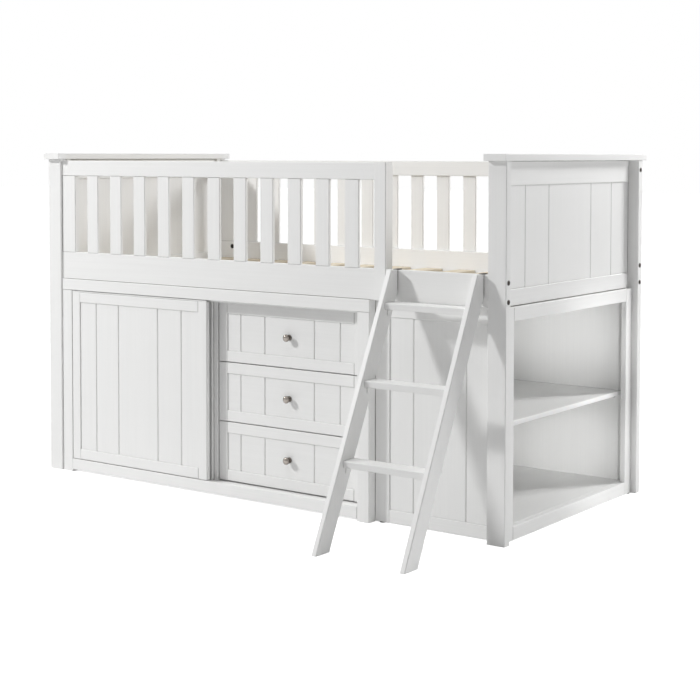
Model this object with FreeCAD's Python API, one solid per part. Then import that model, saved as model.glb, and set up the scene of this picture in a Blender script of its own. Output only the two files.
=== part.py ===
"""Low loft bed with a cabinet and a bookcase under it, and a leaning ladder.

Sizes are in millimetres. The pieces are laid out from the front bottom corner of
the head end: X runs along the bed to the foot end, Y runs to the back, Z is up.
At the end everything moves together so that the origin is under the middle.
"""
import FreeCAD, Part
import math
import os
from FreeCAD import Vector

# Bed frame
LENGTH = 2060.0
WIDTH = 981.0
POST_WIDTH = 67.0
POST_THICK = 31.0
POST_HEIGHT = 1216.0
CAP_THICK = 22.0
CAP_SIDE = 7.0
CAP_END = 18.0
EASE = 1.8

# End frames, head and foot alike
BATTEN_WIDTH = 25.0
BATTEN_THICK = 26.0
END_RAIL_THICK = 26.0
END_RECESS = 29.0
END_TOP_HEIGHT = 78.0
END_LOW_HEIGHT = 54.0
END_LOW_GAP = 2.0
END_PANEL_THICK = 14.0
END_PANEL_SET = 6.0
END_CENTRE_BOARD = 303.0
END_SIDE_BOARD = 158.0
TONGUE = 6.0
GROOVE_WIDTH = 6.0
GROOVE_DEPTH = 3.0

# Side rails and guards
RAIL_SET = 8.0
RAIL_THICK = 22.0
RAIL_BOTTOM = 752.0
RAIL_HEIGHT = 105.0
GUARD_DROP = 6.0
GUARD_RAIL_HEIGHT = 58.0
GUARD_STILE = 72.0
GUARD_SLAT_WIDTH = 58.0
GUARD_SLAT_THICK = 12.0
FRONT_SLATS = 11
BACK_SLATS = 14
ENTRY = 395.0
END_POST_WIDTH = 47.0
END_POST_DEPTH = 42.0
END_POST_PROUD = 2.0
END_POST_CHEEK = 10.0
END_POST_CLEAR = 5.0

# Mattress base
CLEAT_WIDTH = 30.0
CLEAT_HEIGHT = 15.0
BASE_SLAT_WIDTH = 80.0
BASE_SLAT_THICK = 18.0
BASE_SLATS = 13
BASE_END_GAP = 20.0
BASE_SIDE_GAP = 2.0

# Cabinet carcass
CABINET_GAP = 5.0
CABINET_DEPTH = 520.0
CABINET_FRONT = 3.0
CABINET_POST_WIDTH = 50.0
CABINET_POST_DEPTH = 40.0
CABINET_RAIL_HEIGHT = 43.0
KICK_LIFT = 8.0
KICK_HEIGHT = 43.0
TRACK_LIP = 4.0
BOARD_THICK = 18.0
BACK_THICK = 6.0
DIVIDER_THICK = 19.0
DRAWER_BAY = 651.0
BAY_INSET = 4.5

# Sliding door
DOOR_SET = 1.0
DOOR_THICK = 18.0
DOOR_SIDE_GAP = 1.0
DOOR_LAP = 4.0
DOOR_FOOT_GAP = 2.0
DOOR_HEAD_GAP = 6.0
DOOR_STILE = 42.0
DOOR_RAIL = 40.0
PANEL_SET = 4.0
PANEL_THICK = 9.0
DOOR_CENTRE_BOARD = 202.0
DOOR_SIDE_BOARD = 118.0
TRACK_WIDTH = 8.0
TRACK_DEPTH = 10.0
RUNNER_PLAY = 0.3
RUNNER_LENGTH = 60.0
RUNNER_SET = 40.0
HEAD_RUNNER_RISE = 6.0

# Drawers
DRAWERS = 3
DRAWER_THICK = 18.0
DRAWER_GAP = 3.0
DRAWER_HEAD_GAP = 9.0
DRAWER_FOOT_GAP = 1.2
DRAWER_FRAME = 40.0
DRAWER_CENTRE_BOARD = 221.0
DRAWER_SIDE_BOARD = 111.5
DIVIDER_PROUD = 4.0
BOX_CLEAR = 2.0
BOX_LIFT = 24.0
BOX_HEIGHT = 150.0
BOX_DEPTH = 400.0
BOX_WALL = 12.0
BOX_FLOOR_LIFT = 10.0
BOX_FLOOR_THICK = 6.0
SLIDE_WIDTH = 12.0
SLIDE_HEIGHT = 14.0
SLIDE_CLEAR = 2.0

# Drawer knobs
KNOB_LENGTH = 27.0
KNOB_DIAMETER = 27.0
KNOB_NECK = 12.0
KNOB_BASE = 21.0
KNOB_BASE_THICK = 4.0
KNOB_HEAD_THICK = 12.0
KNOB_CROWN = 7.5
KNOB_STEPS = 2
KNOB_CLEAR = 3.0

# Bookcase
BOOKCASE_LENGTH = 507.5
BOOKCASE_FACE_SET = 18.0
BOOKCASE_FRONT_GAP = 9.0
BOOKCASE_REAR_GAP = 10.0
GLIDE_HEIGHT = 3.0
GLIDE_DIAMETER = 22.0
GLIDE_SET = 26.0
FACE_THICK = 20.0
FACE_STILE = 45.0
FACE_TOP_HEIGHT = 46.0
FACE_BASE_HEIGHT = 44.0
SIDE_STILE = 58.0
SIDE_TOP_RAIL = 58.0
SIDE_LOW_RAIL = 45.0
SIDE_THICK = 18.0
SIDE_CENTRE_BOARD = 204.0
SIDE_SIDE_BOARD = 118.0
SHELF_RISE = 330.0
SHELF_THICK = 16.0
SHELF_SET = 30.0
SHELF_PLAY = 1.0
SUPPORT_WIDTH = 12.0
SUPPORT_LEG = 11.0
SUPPORT_THICK = 2.0
SUPPORT_SET = 30.0

# Ladder
LADDER_WIDTH = 347.5
LADDER_END_GAP = 17.5
STRINGER_THICK = 19.0
STRINGER_RUN = 73.0
LADDER_LEAN = 0.475
PLUMB_LENGTH = 78.0
LADDER_RISE = 1.0
TREADS = 3
TREAD_DROP = 103.0
TREAD_PITCH = 240.0
TREAD_THICK = 22.0
TREAD_SET = 11.0
TREAD_UNDERCUT = 3.0
HOOK_THICK = 3.0
HOOK_WIDTH = 15.0
HOOK_LEG = 65.0
HOOK_LIP = 22.0
HOOK_PLAY = 0.3
BRACKET_LEG = 20.0
BRACKET_WIDTH = 24.0
BRACKET_THICK = 2.5

pieces = {}


def board(x, y, z, ease=EASE):
    """A straight board with the four edges along its grain broken."""
    size = (x[1] - x[0], y[1] - y[0], z[1] - z[0])
    solid = Part.makeBox(size[0], size[1], size[2], Vector(x[0], y[0], z[0]))
    grain = size.index(max(size))
    width = min(ease, 0.3 * min(size))
    edges = [e for e in solid.Edges if abs(e.tangentAt(e.FirstParameter)[grain]) > 0.9]
    return solid.makeChamfer(width, edges)


def block(x, y, z):
    return Part.makeBox(x[1] - x[0], y[1] - y[0], z[1] - z[0], Vector(x[0], y[0], z[0]))


def rod(diameter, start, end):
    run = end.sub(start)
    return Part.makeCylinder(diameter / 2.0, run.Length, start, run)


def flip_x(solid):
    return solid.mirror(Vector(LENGTH / 2.0, 0, 0), Vector(1, 0, 0))


def flip_y(solid):
    return solid.mirror(Vector(0, WIDTH / 2.0, 0), Vector(0, 1, 0))


def prism(points, run):
    """A closed outline of vectors, pushed along a vector."""
    return Part.Face(Part.makePolygon(points + [points[0]])).extrude(run)


def board_cuts(opening, centre_board, side_board):
    """Where the V-grooves run: each side of the centre board, then at each board that still fits."""
    middle = (opening[0] + opening[1]) / 2.0
    reach = (opening[1] - opening[0] - GROOVE_WIDTH) / 2.0
    cuts = []
    out = centre_board / 2.0
    while out < reach:
        cuts = [middle - out] + cuts + [middle + out]
        out += side_board
    return cuts


def grooved(across, face, back, cuts, both_faces, place, run):
    """A panel with V-grooves that make it look like boards side by side."""
    half = GROOVE_WIDTH / 2.0
    depth = GROOVE_DEPTH if back > face else -GROOVE_DEPTH
    outline = [(across[0], face)]
    for cut in cuts:
        outline += [(cut - half, face), (cut, face + depth), (cut + half, face)]
    outline += [(across[1], face), (across[1], back)]
    if both_faces:
        for cut in reversed(cuts):
            outline += [(cut + half, back), (cut, back - depth), (cut - half, back)]
    outline.append((across[0], back))
    return prism([place(u, v) for u, v in outline], run)


def framed_front(x, y, z, left, right, top, low, centre_board, side_board):
    """Two stiles, two rails and a grooved panel held in their plough groove."""
    opening_x = (x[0] + left, x[1] - right)
    opening_z = (z[0] + low, z[1] - top)
    panel_x = (opening_x[0] - TONGUE, opening_x[1] + TONGUE)
    panel_z = (opening_z[0] - TONGUE, opening_z[1] + TONGUE)
    panel_y = (y[0] + PANEL_SET, y[0] + PANEL_SET + PANEL_THICK)
    seat = block(panel_x, panel_y, panel_z)
    members = [
        board((x[0], opening_x[0]), y, z),
        board((opening_x[1], x[1]), y, z),
        board(opening_x, y, (opening_z[1], z[1])),
        board(opening_x, y, (z[0], opening_z[0])),
    ]
    cuts = board_cuts(opening_x, centre_board, side_board)
    panel = grooved(panel_x, panel_y[0], panel_y[1], cuts, False,
                    lambda u, v: Vector(u, v, panel_z[0]), Vector(0, 0, panel_z[1] - panel_z[0]))
    return [m.cut(seat) for m in members], panel


# Levels and faces that several pieces share
rail_top = RAIL_BOTTOM + RAIL_HEIGHT
guard_top = POST_HEIGHT - GUARD_DROP
guard_rail_low = guard_top - GUARD_RAIL_HEIGHT
rail_y = (RAIL_SET, RAIL_SET + RAIL_THICK)
slat_y = (RAIL_SET, RAIL_SET + GUARD_SLAT_THICK)
inner_x = (POST_WIDTH, LENGTH - POST_WIDTH)

# Posts, one at each corner


def flip_both(solid):
    return flip_x(flip_y(solid))


post = board((0, POST_WIDTH), (0, POST_THICK), (0, POST_HEIGHT))
pieces["post_head_front"] = [post]
pieces["post_head_rear"] = [flip_y(post)]
pieces["post_foot_front"] = [flip_x(post)]
pieces["post_foot_rear"] = [flip_both(post)]

# Caps over the posts of each end
cap = board((-CAP_SIDE, POST_WIDTH + CAP_SIDE), (-CAP_END, WIDTH + CAP_END),
            (POST_HEIGHT, POST_HEIGHT + CAP_THICK))
pieces["cap_head"] = [cap]
pieces["cap_foot"] = [flip_x(cap)]

# End frames: battens on the posts, two rails between them and a grooved panel
end_y = (POST_THICK + BATTEN_WIDTH, WIDTH - POST_THICK - BATTEN_WIDTH)
end_low = RAIL_BOTTOM + END_LOW_GAP
end_x = (END_RECESS, END_RECESS + END_RAIL_THICK)
end_opening = (end_low + END_LOW_HEIGHT, POST_HEIGHT - END_TOP_HEIGHT)
end_panel_z = (end_opening[0] - TONGUE, end_opening[1] + TONGUE)
end_panel_x = (end_x[0] + END_PANEL_SET, end_x[0] + END_PANEL_SET + END_PANEL_THICK)
end_seat = block(end_panel_x, end_y, end_panel_z)
end_rails = [
    board(end_x, end_y, (end_opening[1], POST_HEIGHT)).cut(end_seat),
    board(end_x, end_y, (end_low, end_opening[0])).cut(end_seat),
]
end_panel = grooved(end_y, end_panel_x[0], end_panel_x[1],
                    board_cuts(end_y, END_CENTRE_BOARD, END_SIDE_BOARD), True,
                    lambda u, v: Vector(v, u, end_panel_z[0]),
                    Vector(0, 0, end_panel_z[1] - end_panel_z[0]))
batten = board((POST_WIDTH - BATTEN_THICK, POST_WIDTH), (POST_THICK, end_y[0]), (end_low, POST_HEIGHT))
pieces["head_rails"] = end_rails
pieces["foot_rails"] = [flip_x(r) for r in end_rails]
pieces["head_panel"] = [end_panel]
pieces["foot_panel"] = [flip_x(end_panel)]
pieces["end_battens"] = [batten, flip_y(batten), flip_x(batten), flip_both(batten)]

# Front side: the rail runs from post to post, the guard stops at the ladder
guard_end = inner_x[1] - ENTRY
end_post_x = (guard_end - END_POST_WIDTH, guard_end)
end_post_y = (RAIL_SET - END_POST_PROUD, RAIL_SET - END_POST_PROUD + END_POST_DEPTH)
cheek_back = end_post_y[0] + END_POST_CHEEK
base_top = RAIL_BOTTOM + CLEAT_HEIGHT + BASE_SLAT_THICK
tail_low = base_top + END_POST_CLEAR
long_rail = board(inner_x, rail_y, (RAIL_BOTTOM, rail_top))
lap = block(end_post_x, (end_post_y[0], cheek_back), (RAIL_BOTTOM, rail_top))
pieces["side_rail_front"] = [long_rail.cut(lap)]
bridle = block(end_post_x, (cheek_back, rail_y[1]), (RAIL_BOTTOM, rail_top))
tail_cut = block(end_post_x, (cheek_back, end_post_y[1]), (RAIL_BOTTOM, tail_low))
end_post = board(end_post_x, end_post_y, (RAIL_BOTTOM, guard_top))
pieces["guard_end_post"] = [end_post.cut(bridle).cut(tail_cut)]
pieces["guard_front_rail"] = [board((inner_x[0], end_post_x[0]), rail_y, (guard_rail_low, guard_top))]
guard_stile = board((inner_x[0], inner_x[0] + GUARD_STILE), rail_y, (rail_top, guard_rail_low))
pieces["guard_front_stile"] = [guard_stile]


def guard_slats(span, count):
    gap = (span[1] - span[0] - count * GUARD_SLAT_WIDTH) / (count + 1)
    row = []
    for i in range(count):
        x = span[0] + gap + i * (GUARD_SLAT_WIDTH + gap)
        row.append(board((x, x + GUARD_SLAT_WIDTH), slat_y, (rail_top, guard_rail_low)))
    return row


pieces["guard_front_slats"] = guard_slats((inner_x[0] + GUARD_STILE, end_post_x[0]), FRONT_SLATS)

# Back side: the same guard over the whole length
back_rail = board(inner_x, rail_y, (guard_rail_low, guard_top))
pieces["side_rail_back"] = [flip_y(long_rail)]
pieces["guard_back_rail"] = [flip_y(back_rail)]
pieces["guard_back_stiles"] = [flip_y(guard_stile), flip_both(guard_stile)]
pieces["guard_back_slats"] = [flip_y(s) for s in guard_slats(
    (inner_x[0] + GUARD_STILE, inner_x[1] - GUARD_STILE), BACK_SLATS)]

# Mattress base: cleats along both rails carry the loose slats
cleat = board(inner_x, (rail_y[1], rail_y[1] + CLEAT_WIDTH), (RAIL_BOTTOM, RAIL_BOTTOM + CLEAT_HEIGHT))
pieces["base_cleats"] = [cleat, flip_y(cleat)]
base_y = (rail_y[1] + BASE_SIDE_GAP, WIDTH - rail_y[1] - BASE_SIDE_GAP)
base_z = (RAIL_BOTTOM + CLEAT_HEIGHT, base_top)
base_span = inner_x[1] - inner_x[0] - 2 * BASE_END_GAP - BASE_SLAT_WIDTH
base_slats = []
for i in range(BASE_SLATS):
    x = inner_x[0] + BASE_END_GAP + base_span * i / (BASE_SLATS - 1)
    base_slats.append(board((x, x + BASE_SLAT_WIDTH), base_y, base_z))
pieces["base_slats"] = base_slats

# Bookcase outline, which also sets where the cabinet ends
bookcase_x = (LENGTH - BOOKCASE_FACE_SET - BOOKCASE_LENGTH, LENGTH - BOOKCASE_FACE_SET)
bookcase_y = (POST_THICK + BOOKCASE_FRONT_GAP, WIDTH - POST_THICK - BOOKCASE_REAR_GAP)
bookcase_z = (GLIDE_HEIGHT, RAIL_BOTTOM)

# Cabinet: two posts with a rail over them and a raised rail between them
cabinet_x = (POST_WIDTH + CABINET_GAP, bookcase_x[0])
frame_y = (CABINET_FRONT, CABINET_FRONT + CABINET_POST_DEPTH)
cabinet_back = CABINET_FRONT + CABINET_DEPTH
head_low = RAIL_BOTTOM - CABINET_RAIL_HEIGHT
kick_top = KICK_LIFT + KICK_HEIGHT
floor_top = kick_top - TRACK_LIP
clear_x = (cabinet_x[0] + CABINET_POST_WIDTH, cabinet_x[1] - CABINET_POST_WIDTH)
pieces["cabinet_posts"] = [
    board((cabinet_x[0], clear_x[0]), frame_y, (0, head_low)),
    board((clear_x[1], cabinet_x[1]), frame_y, (0, head_low)),
]

# The door runs in a groove under the head rail and one in the raised rail
door_y = (CABINET_FRONT + DOOR_SET, CABINET_FRONT + DOOR_SET + DOOR_THICK)
door_mid = (door_y[0] + door_y[1]) / 2.0
track_y = (door_mid - TRACK_WIDTH / 2.0, door_mid + TRACK_WIDTH / 2.0)
head_rail = board(cabinet_x, frame_y, (head_low, RAIL_BOTTOM))
pieces["cabinet_head_rail"] = [head_rail.cut(block(clear_x, track_y, (head_low, head_low + TRACK_DEPTH)))]
track_floor = kick_top - TRACK_DEPTH
kick = board(clear_x, frame_y, (KICK_LIFT, kick_top))
kick = kick.cut(block(clear_x, track_y, (track_floor, kick_top)))
pieces["cabinet_kick_rail"] = [kick.cut(block(clear_x, (track_y[1], frame_y[1]), (floor_top, kick_top)))]

# Carcass boards behind the frame
bay_right = clear_x[1] - BAY_INSET
divider_x = (bay_right - DRAWER_BAY - DIVIDER_THICK, bay_right - DRAWER_BAY)
carcass_top = RAIL_BOTTOM - BOARD_THICK
carcass_y = (frame_y[1], cabinet_back)
inside_y = (frame_y[1], cabinet_back - BACK_THICK)
left_side_x = (cabinet_x[0], cabinet_x[0] + BOARD_THICK)
right_side_x = (bay_right, bay_right + BOARD_THICK)
drawer_y = (door_y[1] + KNOB_LENGTH + KNOB_CLEAR, door_y[1] + KNOB_LENGTH + KNOB_CLEAR + DRAWER_THICK)
floor_z = (floor_top - BOARD_THICK, floor_top)
pieces["cabinet_floor"] = [board((left_side_x[1], right_side_x[0]), inside_y, floor_z)]
pieces["cabinet_top"] = [board(cabinet_x, carcass_y, (carcass_top, RAIL_BOTTOM))]
pieces["cabinet_back"] = [block((left_side_x[1], right_side_x[0]), (inside_y[1], cabinet_back),
                                (floor_z[0], carcass_top))]
left_side = board(left_side_x, carcass_y, (0, carcass_top))
right_side = board(right_side_x, carcass_y, (0, carcass_top))
divider = board(divider_x, (drawer_y[0] - DIVIDER_PROUD, inside_y[1]), (floor_top, carcass_top))

# Shelves lie on small angle supports, which are screwed to the boards beside them


def angle(corner, out, along, leg, width, thick):
    """An angle bracket: one leg reaches out under what it carries, one goes down the wall."""
    down = Vector(0, 0, -1)
    outline = [
        corner,
        corner + out * leg,
        corner + out * leg + down * thick,
        corner + out * thick + down * thick,
        corner + out * thick + down * leg,
        corner + down * leg,
    ]
    half = along * (width / 2.0)
    return prism([p - half for p in outline], along * width)


def shelf_supports(first_wall, second_wall, places, level, across):
    """Four supports under a shelf between two walls that face each other along a direction."""
    along = Vector(0, 1, 0) if across.x else Vector(1, 0, 0)
    made = []
    for wall, out in ((first_wall, across), (second_wall, across * -1)):
        for place in places:
            corner = Vector(wall, place, level) if across.x else Vector(place, wall, level)
            made.append(angle(corner, out, along, SUPPORT_LEG, SUPPORT_WIDTH, SUPPORT_THICK))
    return made


cabinet_shelf_x = (left_side_x[1] + SHELF_PLAY, divider_x[0] - SHELF_PLAY)
cabinet_shelf_y = (drawer_y[1] + SHELF_SET, inside_y[1] - SHELF_PLAY)
cabinet_shelf_top = floor_top + SHELF_RISE
cabinet_supports = shelf_supports(left_side_x[1], divider_x[0],
                                  (cabinet_shelf_y[0] + SUPPORT_SET, cabinet_shelf_y[1] - SUPPORT_SET),
                                  cabinet_shelf_top - SHELF_THICK, Vector(1, 0, 0))
pieces["cabinet_shelf"] = [board(cabinet_shelf_x, cabinet_shelf_y,
                                 (cabinet_shelf_top - SHELF_THICK, cabinet_shelf_top))]
pieces["cabinet_sides"] = [left_side, right_side]
pieces["cabinet_divider"] = [divider]

# Sliding door
door_x = (clear_x[0] + DOOR_SIDE_GAP, divider_x[0] + DOOR_LAP)
door_z = (kick_top + DOOR_FOOT_GAP, head_low - DOOR_HEAD_GAP)
door_frame, door_panel = framed_front(door_x, door_y, door_z, DOOR_STILE, DOOR_STILE,
                                      DOOR_RAIL, DOOR_RAIL, DOOR_CENTRE_BOARD, DOOR_SIDE_BOARD)
pieces["door_frame"] = door_frame
pieces["door_panel"] = [door_panel]
runner_y = (track_y[0] + RUNNER_PLAY, track_y[1] - RUNNER_PLAY)
runners = []
for x in (door_x[0] + RUNNER_SET, door_x[1] - RUNNER_SET - RUNNER_LENGTH):
    runner_x = (x, x + RUNNER_LENGTH)
    runners.append(block(runner_x, runner_y, (track_floor, door_z[0])))
    runners.append(block(runner_x, runner_y, (door_z[1], head_low + HEAD_RUNNER_RISE)))
pieces["door_runners"] = runners

# Knob, turned about the line that it points along: foot, waist, rim and a crown like part of a ball
knob_neck_end = KNOB_LENGTH - KNOB_HEAD_THICK
knob_radius = KNOB_DIAMETER / 2.0
knob_ball = (knob_radius ** 2 + KNOB_CROWN ** 2) / (2.0 * KNOB_CROWN)
knob_turn = math.asin(knob_radius / knob_ball)
knob_outline = [
    (0, 0),
    (KNOB_BASE / 2.0, 0),
    (KNOB_BASE / 2.0, KNOB_BASE_THICK),
    (KNOB_NECK / 2.0, KNOB_BASE_THICK),
    (KNOB_NECK / 2.0, knob_neck_end),
    (knob_radius, knob_neck_end),
]
for step in range(KNOB_STEPS + 1):
    turn = knob_turn * (1.0 - step / KNOB_STEPS)
    knob_outline.append((knob_ball * math.sin(turn), KNOB_LENGTH - knob_ball * (1.0 - math.cos(turn))))
knob_wire = Part.makePolygon([Vector(r, -out, 0) for r, out in knob_outline + knob_outline[:1]])
knob = Part.Face(knob_wire).revolve(Vector(0, 0, 0), Vector(0, 1, 0), 360)

# Drawers: a framed front, a box behind it and a knob, on slides at both sides
drawer_x = (divider_x[1] + DRAWER_GAP, bay_right - DRAWER_GAP)
drawer_mid = (drawer_x[0] + drawer_x[1]) / 2.0
drawer_low = kick_top + DRAWER_FOOT_GAP
drawer_high = head_low - DRAWER_HEAD_GAP
drawer_height = (drawer_high - drawer_low - (DRAWERS - 1) * DRAWER_GAP) / DRAWERS
box_x = (divider_x[1] + BOX_CLEAR, bay_right - BOX_CLEAR)
box_y = (drawer_y[1], drawer_y[1] + BOX_DEPTH)
box_inside_x = (box_x[0] + BOX_WALL, box_x[1] - BOX_WALL)
box_inside_y = (box_y[0] + BOX_WALL, box_y[1] - BOX_WALL)
slides = []
for i, name in enumerate(["bottom", "middle", "top"]):
    z = drawer_low + i * (drawer_height + DRAWER_GAP)
    members, panel = framed_front(drawer_x, drawer_y, (z, z + drawer_height), DRAWER_FRAME, DRAWER_FRAME,
                                  DRAWER_FRAME, DRAWER_FRAME, DRAWER_CENTRE_BOARD, DRAWER_SIDE_BOARD)
    pieces["drawer_" + name + "_front"] = members + [panel]
    box_z = (z + BOX_LIFT, z + BOX_LIFT + BOX_HEIGHT)
    tray_z = (box_z[0] + BOX_FLOOR_LIFT, box_z[0] + BOX_FLOOR_LIFT + BOX_FLOOR_THICK)
    pieces["drawer_" + name + "_box"] = [
        board((box_x[0], box_inside_x[0]), box_y, box_z),
        board((box_inside_x[1], box_x[1]), box_y, box_z),
        board(box_inside_x, (box_y[0], box_inside_y[0]), box_z),
        board(box_inside_x, (box_inside_y[1], box_y[1]), box_z),
        block(box_inside_x, box_inside_y, tray_z),
    ]
    seat = Vector(drawer_mid, drawer_y[0] + PANEL_SET, z + drawer_height / 2.0)
    pieces["drawer_" + name + "_knob"] = [knob.translated(seat)]
    slide_y = (drawer_y[1] + SLIDE_CLEAR, inside_y[1])
    slide_z = (box_z[0] - SLIDE_HEIGHT, box_z[0])
    slides.append(block((divider_x[1], divider_x[1] + SLIDE_WIDTH), slide_y, slide_z))
    slides.append(block((bay_right - SLIDE_WIDTH, bay_right), slide_y, slide_z))
pieces["drawer_slides"] = slides

# Bookcase: a framed side towards the ladder, open towards the foot end
case_x = (bookcase_x[0], bookcase_x[1] - FACE_THICK)
front_y = (bookcase_y[0], bookcase_y[0] + SIDE_THICK)
rear_y = (bookcase_y[1] - SIDE_THICK, bookcase_y[1])
side_frame, side_panel = framed_front(case_x, front_y, bookcase_z, SIDE_STILE, SIDE_STILE - FACE_THICK,
                                      SIDE_TOP_RAIL, SIDE_LOW_RAIL, SIDE_CENTRE_BOARD, SIDE_SIDE_BOARD)
shelf_front = bookcase_x[1] - SHELF_SET
base_level = GLIDE_HEIGHT + FACE_BASE_HEIGHT
bookcase_shelf_top = base_level + SHELF_RISE
shelf_x = (bookcase_x[0] + BACK_THICK + SHELF_PLAY, shelf_front)
shelf_y = (front_y[1] + SHELF_PLAY, rear_y[0] - SHELF_PLAY)
bookcase_supports = shelf_supports(front_y[1], rear_y[0], (shelf_x[0] + SUPPORT_SET, shelf_front - SUPPORT_SET),
                                   bookcase_shelf_top - SHELF_THICK, Vector(0, 1, 0))
pieces["shelf_supports"] = cabinet_supports + bookcase_supports
pieces["bookcase_side_frame"] = side_frame
pieces["bookcase_side_panel"] = [side_panel]
pieces["bookcase_rear_side"] = [board(case_x, rear_y, bookcase_z)]
pieces["bookcase_shelf"] = [board(shelf_x, shelf_y, (bookcase_shelf_top - SHELF_THICK, bookcase_shelf_top))]
case_y = (front_y[1], rear_y[0])
board_x = (bookcase_x[0] + BACK_THICK, case_x[1])
pieces["bookcase_back"] = [block((bookcase_x[0], board_x[0]), case_y, bookcase_z)]
pieces["bookcase_top"] = [board(board_x, case_y, (RAIL_BOTTOM - BOARD_THICK, RAIL_BOTTOM))]
pieces["bookcase_base"] = [board(board_x, case_y, (base_level - BOARD_THICK, base_level))]
face_x = (case_x[1], bookcase_x[1])
face_y = (bookcase_y[0] + FACE_STILE, bookcase_y[1] - FACE_STILE)
pieces["bookcase_face_frame"] = [
    board(face_x, (bookcase_y[0], face_y[0]), bookcase_z),
    board(face_x, (face_y[1], bookcase_y[1]), bookcase_z),
    board(face_x, face_y, (RAIL_BOTTOM - FACE_TOP_HEIGHT, RAIL_BOTTOM)),
    board(face_x, face_y, (GLIDE_HEIGHT, base_level)),
]
glides = []
for x in (bookcase_x[0] + GLIDE_SET, bookcase_x[1] - FACE_THICK / 2.0):
    for y in (front_y[0] + SIDE_THICK / 2.0, rear_y[1] - SIDE_THICK / 2.0):
        glides.append(rod(GLIDE_DIAMETER, Vector(x, y, 0), Vector(x, y, GLIDE_HEIGHT)))
pieces["bookcase_glides"] = glides

# Ladder: leaning stringers, cut plumb at the rail and level at the top
ladder_x = (inner_x[1] - LADDER_END_GAP - LADDER_WIDTH, inner_x[1] - LADDER_END_GAP)
ladder_top = rail_top + LADDER_RISE
plumb_y = rail_y[0] - HOOK_PLAY - HOOK_THICK
plumb_low = ladder_top - PLUMB_LENGTH


def back_edge(z):
    return plumb_y - LADDER_LEAN * (plumb_low - z)


def front_edge(z):
    return back_edge(z) - STRINGER_RUN


def stringer_at(x):
    outline = [
        Vector(x, front_edge(0), 0),
        Vector(x, back_edge(0), 0),
        Vector(x, plumb_y, plumb_low),
        Vector(x, plumb_y, ladder_top),
        Vector(x, front_edge(ladder_top), ladder_top),
    ]
    solid = prism(outline, Vector(STRINGER_THICK, 0, 0))
    long_edges = [e for e in solid.Edges if e.Length > ladder_top / 2.0]
    return solid.makeChamfer(EASE, long_edges)


pieces["ladder_stringers"] = [stringer_at(ladder_x[0]), stringer_at(ladder_x[1] - STRINGER_THICK)]
tread_x = (ladder_x[0] + STRINGER_THICK, ladder_x[1] - STRINGER_THICK)
treads = []
brackets = []
for i in range(TREADS):
    top = rail_top - TREAD_DROP - i * TREAD_PITCH
    low = top - TREAD_THICK
    nose = front_edge(top) + TREAD_SET
    outline = [
        Vector(tread_x[0], nose, top),
        Vector(tread_x[0], back_edge(top), top),
        Vector(tread_x[0], back_edge(low), low),
        Vector(tread_x[0], nose + TREAD_UNDERCUT, low),
    ]
    tread = prism(outline, Vector(tread_x[1] - tread_x[0], 0, 0))
    nose_edge = [e for e in tread.Edges if e.Length > BRACKET_WIDTH * 4 and e.CenterOfMass.y < nose + 1
                 and e.CenterOfMass.z > top - 1]
    treads.append(tread.makeFillet(EASE * 1.5, nose_edge))
    middle = (nose + TREAD_UNDERCUT + back_edge(low)) / 2.0
    for wall, way in ((tread_x[0], 1), (tread_x[1], -1)):
        brackets.append(angle(Vector(wall, middle, low), Vector(way, 0, 0), Vector(0, 1, 0),
                              BRACKET_LEG, BRACKET_WIDTH, BRACKET_THICK))
pieces["ladder_treads"] = treads
pieces["ladder_brackets"] = brackets

# Hooks: a flat bar up the plumb cut, over the rail and down behind it
hook_y = (plumb_y, rail_y[1] + HOOK_PLAY + HOOK_THICK)
hooks = []
for x in (ladder_x[0], ladder_x[1] - STRINGER_THICK):
    x = x + (STRINGER_THICK - HOOK_WIDTH) / 2.0
    outline = [
        Vector(x, hook_y[0], rail_top - HOOK_LEG),
        Vector(x, hook_y[0], rail_top + HOOK_THICK),
        Vector(x, hook_y[1], rail_top + HOOK_THICK),
        Vector(x, hook_y[1], rail_top - HOOK_LIP),
        Vector(x, hook_y[1] - HOOK_THICK, rail_top - HOOK_LIP),
        Vector(x, hook_y[1] - HOOK_THICK, rail_top),
        Vector(x, hook_y[0] + HOOK_THICK, rail_top),
        Vector(x, hook_y[0] + HOOK_THICK, rail_top - HOOK_LEG),
    ]
    hooks.append(prism(outline, Vector(HOOK_WIDTH, 0, 0)))
pieces["ladder_hooks"] = hooks

# The origin is on the floor under the middle of the whole object
middle = Vector(LENGTH / 2.0, (front_edge(0) + WIDTH + CAP_END) / 2.0, 0)
os.makedirs("parts", exist_ok=True)
for name, solids in pieces.items():
    shape = solids[0] if len(solids) == 1 else Part.makeCompound(solids)
    shape.translated(middle.negative()).exportStep("parts/" + name + ".step")
print("pieces", len(pieces), "solids", sum(len(s) for s in pieces.values()))
print("origin", middle)
print("door travel", clear_x[1] - door_x[1], "drawer height", drawer_height)
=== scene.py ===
"""Looks of a white low loft bed with a cabinet, a bookcase and a leaning ladder, in metres."""
import bmesh
import bpy
import math
from mathutils import Matrix, Vector


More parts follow.
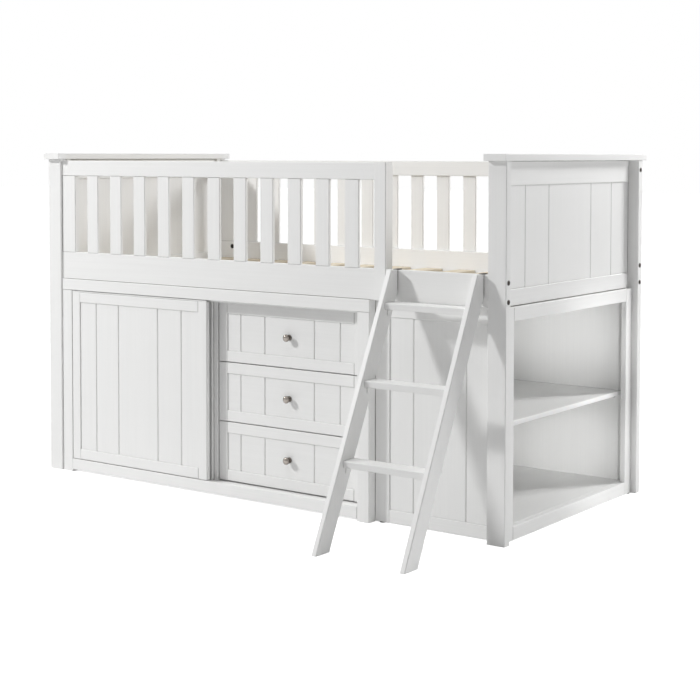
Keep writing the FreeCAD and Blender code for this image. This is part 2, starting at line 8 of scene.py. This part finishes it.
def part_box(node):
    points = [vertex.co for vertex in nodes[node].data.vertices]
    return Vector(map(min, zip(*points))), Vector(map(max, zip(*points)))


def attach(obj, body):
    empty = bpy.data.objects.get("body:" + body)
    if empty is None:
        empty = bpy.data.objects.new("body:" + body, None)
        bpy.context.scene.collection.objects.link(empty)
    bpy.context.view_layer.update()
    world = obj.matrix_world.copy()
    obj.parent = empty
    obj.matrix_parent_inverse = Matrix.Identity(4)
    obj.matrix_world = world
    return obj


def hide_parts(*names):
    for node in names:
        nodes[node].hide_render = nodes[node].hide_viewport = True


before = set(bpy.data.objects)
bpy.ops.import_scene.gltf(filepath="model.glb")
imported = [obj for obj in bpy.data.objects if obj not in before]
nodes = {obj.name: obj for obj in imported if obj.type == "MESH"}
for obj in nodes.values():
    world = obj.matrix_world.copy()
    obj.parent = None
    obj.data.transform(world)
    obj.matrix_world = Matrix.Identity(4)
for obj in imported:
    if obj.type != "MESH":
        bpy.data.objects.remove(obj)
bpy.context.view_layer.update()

# Corner posts
# Four straight pine posts, planed, edges broken, sprayed with white satin lacquer.
# They stand on the floor and every rail of the bed is bolted to them.

MM = 0.001


def colour(code):
    """A colour written as sRGB hex, turned into the linear values that a shader takes."""
    channels = [int(code[i:i + 2], 16) / 255.0 for i in (0, 2, 4)]
    return [c / 12.92 if c <= 0.04045 else ((c + 0.055) / 1.055) ** 2.4 for c in channels] + [1.0]


def add(tree, kind, inputs, **settings):
    """Adds a node with its settings, and sets or links its inputs."""
    made = tree.nodes.new(kind)
    for name, value in settings.items():
        setattr(made, name, value)
    for socket, value in inputs.items():
        if isinstance(value, bpy.types.NodeSocket):
            tree.links.new(value, made.inputs[socket])
        else:
            made.inputs[socket].default_value = value
    return made


def blank(name):
    """A new material, and its node tree with nothing in it yet."""
    material = bpy.data.materials.new(name)
    material.use_nodes = True
    material.node_tree.nodes.clear()
    return material, material.node_tree


# Sprayed satin lacquer on solid pine: an even, slightly warm white with a soft sheen.
# The grain shows through as long faint streaks. Real ones are under a millimetre wide,
# so they are drawn 5 mm wide here to show at all. The spray leaves a fine orange peel.
# Painted shade darkens the joints and inside corners within a few millimetres, drawing them as thin darker
# lines.
GRAIN_WIDTH = 5.0 * MM
GRAIN_LENGTH = 420.0 * MM
PEEL_WIDTH = 2.5 * MM
PATCH_WIDTH = 260.0 * MM
EDGE_ROUND = 1.6 * MM
JOINT_REACH = 4.0 * MM
GRAIN_DARK = "F2F2F1"
GRAIN_PALE = "F4F4F3"
GRAIN_SPAN = (0.36, 0.6)
GRAIN_BUMP = 0.02
GRAIN_DEPTH = 0.4 * MM
PEEL_BUMP = 0.1
PEEL_DEPTH = 0.15 * MM
SATIN = (0.36, 0.5)
LACQUER_IOR = 1.48
JOINT_SHADE = "5E5751"
JOINT_SHADE_SPAN = (0.2, 0.75)


def white_lacquer(name, grain, stiles=None):
    """White lacquer with its grain along one axis. Between the two places given as stiles, along X or Y,
    the grain follows that axis, and past them it is upright, as in a frame of rails and stiles."""
    material, tree = blank(name)
    place = add(tree, "ShaderNodeTexCoord", {}).outputs["Object"]
    along = [1.0 / (GRAIN_LENGTH if axis == grain else GRAIN_WIDTH) for axis in "XYZ"]
    run = add(tree, "ShaderNodeMapping", {"Vector": place, "Scale": along}).outputs["Vector"]
    if stiles:
        upright = [1.0 / (GRAIN_LENGTH if axis == "Z" else GRAIN_WIDTH) for axis in "XYZ"]
        stile_run = add(tree, "ShaderNodeMapping", {"Vector": place, "Scale": upright}).outputs["Vector"]
        position = add(tree, "ShaderNodeSeparateXYZ", {"Vector": place}).outputs[grain]
        centre = (stiles[0] + stiles[1]) / 2.0
        half = (stiles[1] - stiles[0]) / 2.0
        off = add(tree, "ShaderNodeMath", {0: position, 1: centre}, operation="SUBTRACT")
        far = add(tree, "ShaderNodeMath", {0: off.outputs[0]}, operation="ABSOLUTE")
        past = add(tree, "ShaderNodeMath", {0: far.outputs[0], 1: half}, operation="GREATER_THAN")
        both = add(tree, "ShaderNodeMix", {0: past.outputs[0], 4: run, 5: stile_run}, data_type="VECTOR")
        run = both.outputs[1]
    streaks = add(tree, "ShaderNodeTexNoise", {"Vector": run, "Scale": 1.0, "Detail": 4.0, "Roughness": 0.6})
    patches = add(tree, "ShaderNodeTexNoise", {"Vector": place, "Scale": 1.0 / PATCH_WIDTH, "Detail": 2.0})
    peel = add(tree, "ShaderNodeTexNoise", {"Vector": place, "Scale": 1.0 / PEEL_WIDTH, "Detail": 1.0})
    tone = add(tree, "ShaderNodeValToRGB", {"Fac": streaks.outputs["Fac"]})
    tone.color_ramp.elements[0].position = GRAIN_SPAN[0]
    tone.color_ramp.elements[0].color = colour(GRAIN_DARK)
    tone.color_ramp.elements[1].position = GRAIN_SPAN[1]
    tone.color_ramp.elements[1].color = colour(GRAIN_PALE)
    # Painted shade: the base colour darkens towards a dark tone where the surface is closed in, in joints and
    # inside corners.
    openness = add(tree, "ShaderNodeAmbientOcclusion", {"Distance": JOINT_REACH}, samples=4)
    shade_free = add(tree, "ShaderNodeMapRange", {"Value": openness.outputs["AO"], "From Min": JOINT_SHADE_SPAN[0],
                                             "From Max": JOINT_SHADE_SPAN[1]})
    coat_with_painted_shade = add(tree, "ShaderNodeMix", {0: shade_free.outputs["Result"], 6: colour(JOINT_SHADE),
                                       7: tone.outputs["Color"]}, data_type="RGBA")
    sheen = add(tree, "ShaderNodeMapRange", {"Value": patches.outputs["Fac"], "To Min": SATIN[0],
                                             "To Max": SATIN[1]})
    rounded = add(tree, "ShaderNodeBevel", {"Radius": EDGE_ROUND}, samples=3)
    grained = add(tree, "ShaderNodeBump", {"Height": streaks.outputs["Fac"], "Strength": GRAIN_BUMP,
                                           "Distance": GRAIN_DEPTH, "Normal": rounded.outputs["Normal"]})
    skin = add(tree, "ShaderNodeBump", {"Height": peel.outputs["Fac"], "Strength": PEEL_BUMP,
                                        "Distance": PEEL_DEPTH, "Normal": grained.outputs["Normal"]})
    paint = add(tree, "ShaderNodeBsdfPrincipled", {"Base Color": coat_with_painted_shade.outputs[2], "IOR": LACQUER_IOR,
                                                   "Roughness": sheen.outputs["Result"],
                                                   "Normal": skin.outputs["Normal"]})
    add(tree, "ShaderNodeOutputMaterial", {"Surface": paint.outputs["BSDF"]})
    return material


def finish_with(material, *names):
    """Gives CAD nodes a finish in place of the plain one that they were packed with."""
    for name in names:
        nodes[name].data.materials.clear()
        nodes[name].data.materials.append(material)


upright_lacquer = white_lacquer("white_satin_lacquer_upright", "Z")
finish_with(upright_lacquer, "post_head_front", "post_head_rear", "post_foot_front", "post_foot_rear")

# End frames
# Head and foot alike: two rails and a grooved panel between the posts, battens in the
# corners and a wide cap over the posts. Pine and board, lacquered, glued and screwed from behind.

crosswise_lacquer = white_lacquer("white_satin_lacquer_crosswise", "Y")
finish_with(crosswise_lacquer, "cap_head", "cap_foot", "head_rails", "foot_rails")
finish_with(upright_lacquer, "head_panel", "foot_panel", "end_battens")

# Side rails and guards
# Long pine rails between the posts with a guard of upright slats on each side, which are
# tongued into the rails. The front guard ends at the ladder in a post bridled over the rail.

lengthwise_lacquer = white_lacquer("white_satin_lacquer_lengthwise", "X")
finish_with(lengthwise_lacquer, "side_rail_front", "side_rail_back", "guard_front_rail", "guard_back_rail")
finish_with(upright_lacquer, "guard_end_post", "guard_front_stile", "guard_front_slats",
            "guard_back_stiles", "guard_back_slats")

# Bed bolts and cross nuts
# Black steel bolts with a hexagon socket go through the posts into the rail ends, where a round
# cross nut with a ringed face sits in the rail's inner side. They take the bed apart.

HEAD_WIDTH = 16.0 * MM
HEAD_RISE = 1.4 * MM
SOCKET_WIDTH = 6.0 * MM
NUT_WIDTH = 20.0 * MM
NUT_RISE = 0.5 * MM
NUT_REACH = 64.0 * MM
BOLT_LOW = 21.0 * MM
BOLT_PITCH = 61.0 * MM
ROUND_STEPS = 36


def placed(name, data):
    """A new object in the scene, made of a mesh, a lamp or a camera."""
    made = bpy.data.objects.new(name, data)
    bpy.context.scene.collection.objects.link(made)
    return made


def turned(name, rings, material):
    """A round piece about its own Z. Each ring is a radius, a height and whether it is a hexagon."""
    points = []
    for radius, height, hexagon in rings:
        for step in range(ROUND_STEPS):
            turn = 2.0 * math.pi * step / ROUND_STEPS
            out = radius
            if hexagon:
                out = radius / math.cos(turn % (math.pi / 3.0) - math.pi / 6.0)
            points.append((out * math.cos(turn), out * math.sin(turn), height))
    faces = []
    for ring in range(len(rings) - 1):
        for step in range(ROUND_STEPS):
            here = ring * ROUND_STEPS + step
            after = ring * ROUND_STEPS + (step + 1) % ROUND_STEPS
            faces.append((here, after, after + ROUND_STEPS, here + ROUND_STEPS))
    faces.append(tuple(reversed(range(ROUND_STEPS))))
    faces.append(tuple(range(len(points) - ROUND_STEPS, len(points))))
    mesh = bpy.data.meshes.new(name)
    mesh.from_pydata(points, [], faces)
    mesh.materials.append(material)
    return placed(name, mesh)


def stand(piece, foot, way, body):
    """Stands a piece on a point, with its own Z along a direction, and lets it ride on a body."""
    turn = Vector((0, 0, 1)).rotation_difference(Vector(way)).to_matrix().to_4x4()
    piece.matrix_world = Matrix.Translation(Vector(foot)) @ turn
    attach(piece, body)


# Black-oxide steel: nearly black with a brown cast, a dull metallic sheen and faint turning marks
# that the oxide bath leaves, about 0.6 mm apart.
OXIDE_MARK = 0.6 * MM
OXIDE_DULL = (0.42, 0.62)
OXIDE_METAL = 0.7
black_steel, tree = blank("black_oxide_steel")
place = add(tree, "ShaderNodeTexCoord", {}).outputs["Object"]
marks = add(tree, "ShaderNodeTexNoise", {"Vector": place, "Scale": 1.0 / OXIDE_MARK, "Detail": 2.0})
tone = add(tree, "ShaderNodeValToRGB", {"Fac": marks.outputs["Fac"]})
tone.color_ramp.elements[0].color = colour("26211E")
tone.color_ramp.elements[1].color = colour("453E39")
worn = add(tree, "ShaderNodeMapRange", {"Value": marks.outputs["Fac"], "To Min": OXIDE_DULL[0],
                                        "To Max": OXIDE_DULL[1]})
steel = add(tree, "ShaderNodeBsdfPrincipled", {"Base Color": tone.outputs["Color"], "Metallic": OXIDE_METAL,
                                               "Roughness": worn.outputs["Result"]})
add(tree, "ShaderNodeOutputMaterial", {"Surface": steel.outputs["BSDF"]})

# Radius and height of each ring, as shares of the width and the rise
bolt_rings = [
    (HEAD_WIDTH * 0.5, 0.0, False),
    (HEAD_WIDTH * 0.5, HEAD_RISE * 0.6, False),
    (HEAD_WIDTH * 0.45, HEAD_RISE * 0.92, False),
    (HEAD_WIDTH * 0.4, HEAD_RISE, False),
    (SOCKET_WIDTH * 0.56, HEAD_RISE, True),
    (SOCKET_WIDTH * 0.5, HEAD_RISE * 0.9, True),
    (SOCKET_WIDTH * 0.5, HEAD_RISE * 0.1, True),
]
nut_rings = [
    (NUT_WIDTH * 0.5, 0.0, False),
    (NUT_WIDTH * 0.48, NUT_RISE, False),
    (NUT_WIDTH * 0.36, NUT_RISE, False),
    (NUT_WIDTH * 0.34, NUT_RISE * 0.2, False),
    (NUT_WIDTH * 0.16, NUT_RISE * 0.2, True),
    (NUT_WIDTH * 0.15, NUT_RISE * 0.1, True),
]
for end in ("head", "foot"):
    for side in ("front", "rear"):
        post_low, post_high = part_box("post_" + end + "_" + side)
        long_side = "back" if side == "rear" else "front"
        rail_low, rail_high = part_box("side_rail_" + long_side)
        guard_low, guard_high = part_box("guard_" + long_side + "_rail")
        levels = [rail_low.z + BOLT_LOW, rail_low.z + BOLT_LOW + BOLT_PITCH]
        if guard_high.x > post_low.x - MM or end == "head":
            levels.append((guard_low.z + guard_high.z) / 2.0)
        middle = (post_low.y + post_high.y) / 2.0
        outside, outward = (post_low.x, -1) if end == "head" else (post_high.x, 1)
        inside = post_high.x if end == "head" else post_low.x
        inner_face, inward = (rail_high.y, 1) if side == "front" else (rail_low.y, -1)
        for count, level in enumerate(levels):
            tag = "_".join([end, side, str(count)])
            bolt = turned("bed_bolt_" + tag, bolt_rings, black_steel)
            stand(bolt, (outside, middle, level), (outward, 0, 0), "bed_frame")
            nut = turned("cross_nut_" + tag, nut_rings, black_steel)
            seat = (inside - outward * NUT_REACH, inner_face, level)
            stand(nut, seat, (0, inward, 0), "bed_frame")

# Mattress base
# Loose slats of bare planed pine lie across the bed on two lacquered cleats, which are
# screwed along the inside of the rails.

# Bare pine: honey-coloured, with darker growth lines about 6 mm apart that run along the slat
# and waver, and a dry, nearly matt face.
GROWTH_WIDTH = 6.0 * MM
GROWTH_LENGTH = 300.0 * MM
GROWTH_SPAN = (0.3, 0.65)
GROWTH_WAVER = 0.6
PLANED_BUMP = 0.2
PLANED_DEPTH = 0.4 * MM
PINE_DULL = 0.62
PINE_IOR = 1.5
bare_pine, tree = blank("bare_planed_pine")
place = add(tree, "ShaderNodeTexCoord", {}).outputs["Object"]
run = add(tree, "ShaderNodeMapping", {"Vector": place,
                                      "Scale": [1.0 / GROWTH_WIDTH, 1.0 / GROWTH_LENGTH, 1.0 / GROWTH_WIDTH]})
growth = add(tree, "ShaderNodeTexNoise", {"Vector": run.outputs["Vector"], "Scale": 1.0, "Detail": 5.0,
                                          "Distortion": GROWTH_WAVER})
tone = add(tree, "ShaderNodeValToRGB", {"Fac": growth.outputs["Fac"]})
tone.color_ramp.elements[0].position = GROWTH_SPAN[0]
tone.color_ramp.elements[0].color = colour("D3C3AA")
tone.color_ramp.elements[1].position = GROWTH_SPAN[1]
tone.color_ramp.elements[1].color = colour("E6DCC9")
planed = add(tree, "ShaderNodeBump", {"Height": growth.outputs["Fac"], "Strength": PLANED_BUMP,
                                      "Distance": PLANED_DEPTH})
wood = add(tree, "ShaderNodeBsdfPrincipled", {"Base Color": tone.outputs["Color"], "Roughness": PINE_DULL,
                                              "IOR": PINE_IOR, "Normal": planed.outputs["Normal"]})
add(tree, "ShaderNodeOutputMaterial", {"Surface": wood.outputs["BSDF"]})
finish_with(bare_pine, "base_slats")
finish_with(lengthwise_lacquer, "base_cleats")

# Cabinet
# A carcass of lacquered board behind a pine front frame: two posts, a head rail and a raised
# kick rail, both grooved for the door. It slides under the bed and stands on its own posts.

finish_with(upright_lacquer, "cabinet_posts", "cabinet_sides", "cabinet_divider", "cabinet_back")
finish_with(lengthwise_lacquer, "cabinet_head_rail", "cabinet_kick_rail", "cabinet_floor", "cabinet_top",
            "cabinet_shelf", "drawer_slides")

# Two planed strips close the gaps round the door: one under the head rail, behind the door's
# groove, and one up the divider's edge. They are pinned on and lacquered with the rest.
STRIP_EDGE = 1.0 * MM
STRIP_THICK = 12.0 * MM
STRIP_DEPTH = 16.0 * MM
STRIP_CLEAR = 2.0 * MM
STRIP_HOLD = 18.0 * MM
STRIP_BACK = 16.0 * MM


def strip(name, low, high, material, body="bed_frame"):
    """A planed strip between two corners, with its edges broken, that rides on a body."""
    form = bmesh.new()
    bmesh.ops.create_cube(form, size=1.0)
    size = [b - a for a, b in zip(low, high)]
    middle = [(a + b) / 2.0 for a, b in zip(low, high)]
    bmesh.ops.scale(form, vec=size, verts=form.verts)
    bmesh.ops.translate(form, vec=middle, verts=form.verts)
    bmesh.ops.bevel(form, geom=form.edges[:], offset=STRIP_EDGE, segments=2, profile=0.5, affect="EDGES")
    mesh = bpy.data.meshes.new(name)
    form.to_mesh(mesh)
    form.free()
    mesh.materials.append(material)
    piece = placed(name, mesh)
    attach(piece, body)


door_low, door_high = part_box("door_frame")
head_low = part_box("cabinet_head_rail")[0]
kick_low, kick_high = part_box("cabinet_kick_rail")
divider_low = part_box("cabinet_divider")[0]
strip_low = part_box("drawer_top_front")[1].z + STRIP_CLEAR
strip_front = door_high.y + STRIP_CLEAR
strip_rear = strip_front + STRIP_DEPTH
strip("head_stop_strip", (kick_low.x, strip_front, strip_low), (kick_high.x, strip_rear, head_low.z),
      lengthwise_lacquer)
strip("divider_stop_strip", (divider_low.x - STRIP_THICK, door_high.y + STRIP_BACK, divider_low.z),
      (divider_low.x, divider_low.y + STRIP_HOLD, strip_low), upright_lacquer)

# Sliding door
# A pine frame round a grooved panel, lacquered. Nylon runners, screwed on top and below,
# run in the grooves of the head rail and the kick rail.

DOOR_STILE = 42.0 * MM
door_lacquer = white_lacquer("white_satin_lacquer_door", "X",
                             (door_low.x + DOOR_STILE, door_high.x - DOOR_STILE))
finish_with(door_lacquer, "door_frame")
finish_with(upright_lacquer, "door_panel")

# A thin bead along the front of the door's top edge covers most of the gap and hides the runners.
BEAD_DEPTH = 5.0 * MM
BEAD_RISE = 4.0 * MM
strip("door_top_bead", (door_low.x, door_low.y, door_high.z),
      (door_high.x, door_low.y + BEAD_DEPTH, door_high.z + BEAD_RISE), lengthwise_lacquer, "sliding_door")

# Moulded nylon: milky and slightly waxy, with the fine grit of a spark-eroded mould.
GRIT = 0.8 * MM
GRIT_BUMP = 0.25
GRIT_DEPTH = 0.1 * MM
NYLON_DULL = 0.48
NYLON_IOR = 1.53


def nylon(name, dark, light):
    """Moulded nylon between a dark and a light tone."""
    material, tree = blank(name)
    place = add(tree, "ShaderNodeTexCoord", {}).outputs["Object"]
    grit = add(tree, "ShaderNodeTexNoise", {"Vector": place, "Scale": 1.0 / GRIT, "Detail": 2.0})
    tone = add(tree, "ShaderNodeValToRGB", {"Fac": grit.outputs["Fac"]})
    tone.color_ramp.elements[0].color = colour(dark)
    tone.color_ramp.elements[1].color = colour(light)
    rough = add(tree, "ShaderNodeBump", {"Height": grit.outputs["Fac"], "Strength": GRIT_BUMP,
                                         "Distance": GRIT_DEPTH})
    body = add(tree, "ShaderNodeBsdfPrincipled", {"Base Color": tone.outputs["Color"], "IOR": NYLON_IOR,
                                                  "Roughness": NYLON_DULL,
                                                  "Normal": rough.outputs["Normal"]})
    add(tree, "ShaderNodeOutputMaterial", {"Surface": body.outputs["BSDF"]})
    return material


finish_with(nylon("white_moulded_nylon", "DAD9D5", "E8E7E3"), "door_runners")

# Drawers
# Framed fronts like the door's on boxes of lacquered board, which slide on runners. Each has
# a turned knob of polished nickel, held by a screw from inside.

DRAWER_FRAME = 40.0 * MM
front_low, front_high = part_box("drawer_top_front")
drawer_lacquer = white_lacquer("white_satin_lacquer_drawer", "X",
                               (front_low.x + DRAWER_FRAME, front_high.x - DRAWER_FRAME))

# Polished nickel: a warm silver mirror with faint turning rings. Its colour is darkened throughout as a
# painted reflection of a dark room, and darker still in the waist of the knob as painted shade.
RING_WIDTH = 1.2 * MM
KNOB_LENGTH = 27.0 * MM
SHADED_WAIST_AT = 0.36
KNOB_SHOULDER = 0.62
POLISH = (0.1, 0.22)
nickel, tree = blank("polished_nickel")
place = add(tree, "ShaderNodeTexCoord", {}).outputs["Object"]
height = add(tree, "ShaderNodeSeparateXYZ", {"Vector": place}).outputs["Z"]
reach = add(tree, "ShaderNodeMapRange", {"Value": height, "From Max": KNOB_LENGTH})
# Painted reflection and shade: a dark tone along the knob, darkest in the waist.
tone = add(tree, "ShaderNodeValToRGB", {"Fac": reach.outputs["Result"]})
tone.color_ramp.elements[0].color = colour("6F6862")
tone.color_ramp.elements[1].color = colour("8F8983")
painted_waist_shade = tone.color_ramp.elements.new(SHADED_WAIST_AT)
painted_waist_shade.color = colour("332E2B")
shoulder = tone.color_ramp.elements.new(KNOB_SHOULDER)
shoulder.color = colour("7C756F")
rings = add(tree, "ShaderNodeTexNoise", {"Vector": place, "Scale": 1.0 / RING_WIDTH, "Detail": 1.0})
polish = add(tree, "ShaderNodeMapRange", {"Value": rings.outputs["Fac"], "To Min": POLISH[0],
                                          "To Max": POLISH[1]})
metal = add(tree, "ShaderNodeBsdfPrincipled", {"Base Color": tone.outputs["Color"], "Metallic": 1.0,
                                               "Roughness": polish.outputs["Result"]})
add(tree, "ShaderNodeOutputMaterial", {"Surface": metal.outputs["BSDF"]})

# Radius and distance from the panel, in millimetres: foot, waist, rim and crown
knob_rings = [(9.6, 0.0), (10.3, 0.6), (10.4, 2.6), (9.4, 4.2), (7.0, 6.2), (6.0, 9.0), (6.8, 12.0),
              (9.8, 14.6), (12.6, 16.2), (13.4, 18.2), (13.2, 20.4), (11.8, 22.8), (9.0, 25.0),
              (5.0, 26.6), (1.5, 27.0)]
for level in ("top", "middle", "bottom"):
    drawer = "drawer_" + level
    finish_with(drawer_lacquer, drawer + "_front")
    finish_with(lengthwise_lacquer, drawer + "_box")
    knob_low, knob_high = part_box(drawer + "_knob")
    knob = turned(drawer + "_turned_knob", [(r * MM, out * MM, False) for r, out in knob_rings], nickel)
    knob.data.shade_smooth()
    smooth = knob.modifiers.new("smooth", "SUBSURF")
    smooth.levels = 1
    smooth.render_levels = 2
    foot = ((knob_low.x + knob_high.x) / 2.0, knob_high.y, (knob_low.z + knob_high.z) / 2.0)
    stand(knob, foot, (0, -1, 0), drawer)
    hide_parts(drawer + "_knob")

# Bookcase
# A case of lacquered board under the foot end, open towards it: a framed side to the ladder, a
# face frame round the opening, a loose shelf on zinc angles and dark nylon glides below.

SIDE_STILE = 58.0 * MM
FACE_STILE = 45.0 * MM
side_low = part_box("bookcase_side_frame")[0]
face_low, face_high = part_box("bookcase_face_frame")
side_lacquer = white_lacquer("white_satin_lacquer_bookcase_side", "X",
                             (side_low.x + SIDE_STILE, face_high.x - SIDE_STILE))
face_lacquer = white_lacquer("white_satin_lacquer_bookcase_face", "Y",
                             (face_low.y + FACE_STILE, face_high.y - FACE_STILE))
finish_with(side_lacquer, "bookcase_side_frame")
finish_with(face_lacquer, "bookcase_face_frame")
finish_with(upright_lacquer, "bookcase_side_panel", "bookcase_rear_side", "bookcase_back")
finish_with(crosswise_lacquer, "bookcase_shelf", "bookcase_top", "bookcase_base")
finish_with(nylon("dark_moulded_nylon", "1E1D1C", "33312F"), "bookcase_glides")

# Zinc-plated steel: cool grey with a fine spangle a few millimetres wide and a dull mirror.
SPANGLE = 3.0 * MM
ZINC_DULL = 0.38
zinc, tree = blank("zinc_plated_steel")
place = add(tree, "ShaderNodeTexCoord", {}).outputs["Object"]
spangle = add(tree, "ShaderNodeTexVoronoi", {"Vector": place, "Scale": 1.0 / SPANGLE})
tone = add(tree, "ShaderNodeValToRGB", {"Fac": spangle.outputs["Color"]})
tone.color_ramp.elements[0].color = colour("A6A7A9")
tone.color_ramp.elements[1].color = colour("C9CACB")
metal = add(tree, "ShaderNodeBsdfPrincipled", {"Base Color": tone.outputs["Color"], "Metallic": 1.0,
                                               "Roughness": ZINC_DULL})
add(tree, "ShaderNodeOutputMaterial", {"Surface": metal.outputs["BSDF"]})
finish_with(zinc, "shelf_supports")

# Ladder
# Two leaning pine stringers, three treads let in between them on white angles, and two black
# steel hooks that hang it on the side rail. It lifts off.

finish_with(upright_lacquer, "ladder_stringers")
finish_with(lengthwise_lacquer, "ladder_treads", "ladder_brackets")
finish_with(black_steel, "ladder_hooks")

# Studio
# A plain pale floor that runs out to white, a key lamp high at the front left, a soft lamp above,
# one behind at the right for the open end, a weak one at the right for the ladder's side, a narrow
# one into each bay of the bookcase and a faint even room.

FLOOR_HALF = 40.0
floor_mesh = bpy.data.meshes.new("studio_floor")
corners = [(-FLOOR_HALF, -FLOOR_HALF, 0), (FLOOR_HALF, -FLOOR_HALF, 0),
           (FLOOR_HALF, FLOOR_HALF, 0), (-FLOOR_HALF, FLOOR_HALF, 0)]
floor_mesh.from_pydata(corners, [], [(0, 1, 2, 3)])
floor = placed("studio_floor", floor_mesh)

# Matt seamless paper: an even pale grey that takes a soft shadow. Its own glow, which lights nothing,
# rises to full white between two distances from the middle, in metres.
NEAR_GLOW = 0.8
NEAR = 1.4
FAR = 3.2


def shown_itself(tree):
    """One where the background is seen, straight or in metal or glass, and nought in the light it gives."""
    seen = add(tree, "ShaderNodeLightPath", {}).outputs
    mirrored = add(tree, "ShaderNodeMath", {0: seen["Is Camera Ray"], 1: seen["Is Glossy Ray"]},
                   operation="MAXIMUM")
    through = add(tree, "ShaderNodeMath", {0: mirrored.outputs[0], 1: seen["Is Transmission Ray"]},
                  operation="MAXIMUM")
    return through.outputs[0]


paper, tree = blank("pale_studio_paper")
shown = shown_itself(tree)
place = add(tree, "ShaderNodeTexCoord", {}).outputs["Object"]
away = add(tree, "ShaderNodeVectorMath", {0: place}, operation="LENGTH")
fade = add(tree, "ShaderNodeMapRange", {"Value": away.outputs["Value"], "From Min": NEAR, "From Max": FAR,
                                        "To Min": NEAR_GLOW, "To Max": 1.0})
strength = add(tree, "ShaderNodeMath", {0: shown, 1: fade.outputs["Result"]}, operation="MULTIPLY")
glow = add(tree, "ShaderNodeEmission", {"Strength": strength.outputs[0]})
matt = add(tree, "ShaderNodeBsdfDiffuse", {"Color": colour("EFEFEF")})
sheet = add(tree, "ShaderNodeAddShader", {0: glow.outputs[0], 1: matt.outputs[0]})
add(tree, "ShaderNodeOutputMaterial", {"Surface": sheet.outputs[0]})
floor_mesh.materials.append(paper)

ROOM_LIGHT = 0.15
room = bpy.data.worlds.new("white_room")
bpy.context.scene.world = room
room.use_nodes = True
tree = room.node_tree
tree.nodes.clear()
shown = shown_itself(tree)
level = add(tree, "ShaderNodeMapRange", {"Value": shown, "To Min": ROOM_LIGHT, "To Max": 1.0})
air = add(tree, "ShaderNodeBackground", {"Color": colour("FFFFFF"), "Strength": level.outputs["Result"]})
add(tree, "ShaderNodeOutputWorld", {"Surface": air.outputs[0]})

BEAM_SOFT = 0.8


def lamp(name, place, target, size, power, beam=None):
    """A soft square lamp that points at a target, or a round one with a beam of that angle."""
    light = bpy.data.lights.new(name, "SPOT" if beam else "AREA")
    light.energy = power
    if beam:
        light.spot_size = math.radians(beam)
        light.spot_blend = BEAM_SOFT
        light.shadow_soft_size = size / 2.0
    else:
        light.shape = "SQUARE"
        light.size = size
    holder = placed(name, light)
    holder.location = place
    holder.rotation_euler = (Vector(target) - Vector(place)).to_track_quat("-Z", "Y").to_euler()


MIDDLE = (0.0, 0.1, 0.6)
OPEN_END = (0.95, 0.2, 0.5)
LADDER_SIDE = (0.6, -0.3, 0.6)
UPPER_BAY = (0.78, 0.62, 0.565)
LOWER_BAY = (0.78, 0.62, 0.15)
lamp("key_lamp", (-4.46, -3.91, 4.2), MIDDLE, 0.7, 282.0)
lamp("top_lamp", (0.4, -0.99, 4.95), MIDDLE, 2.5, 60.0)
lamp("rear_lamp", (2.35, 2.82, 2.36), OPEN_END, 0.8, 80.0)
lamp("side_lamp", (4.8, -0.5, 1.1), LADDER_SIDE, 1.2, 10.0)
lamp("upper_bay_lamp", (4.1, -2.9, 0.7), UPPER_BAY, 0.2, 530.0, 5.4)
lamp("lower_bay_lamp", (4.1, -2.9, 0.7), LOWER_BAY, 0.2, 530.0, 5.4)

# Camera
# At the photograph's place: about 1.24 m up, 36 degrees round from the front, tipped a
# little down, with the rest of the drop taken by shift so that uprights stay nearly upright.

CAMERA_PLACE = (3.3987, -4.3767, 1.2352)
CAMERA_ROUND = 0.62757
CAMERA_TIP = math.radians(2.5)
CAMERA_ROLL = 0.00143
CAMERA_SENSOR = 36.0
CAMERA_LENS = 77.73
CAMERA_SHIFT = -0.1848
camera = bpy.data.cameras.new("photo_camera")
camera.sensor_width = CAMERA_SENSOR
camera.lens = CAMERA_LENS
camera.shift_y = CAMERA_SHIFT
holder = placed("photo_camera", camera)
holder.location = CAMERA_PLACE
holder.rotation_euler = (math.pi / 2.0 - CAMERA_TIP, -CAMERA_ROLL, CAMERA_ROUND)
bpy.context.scene.camera = holder
bpy.context.scene.view_settings.view_transform = "Standard"
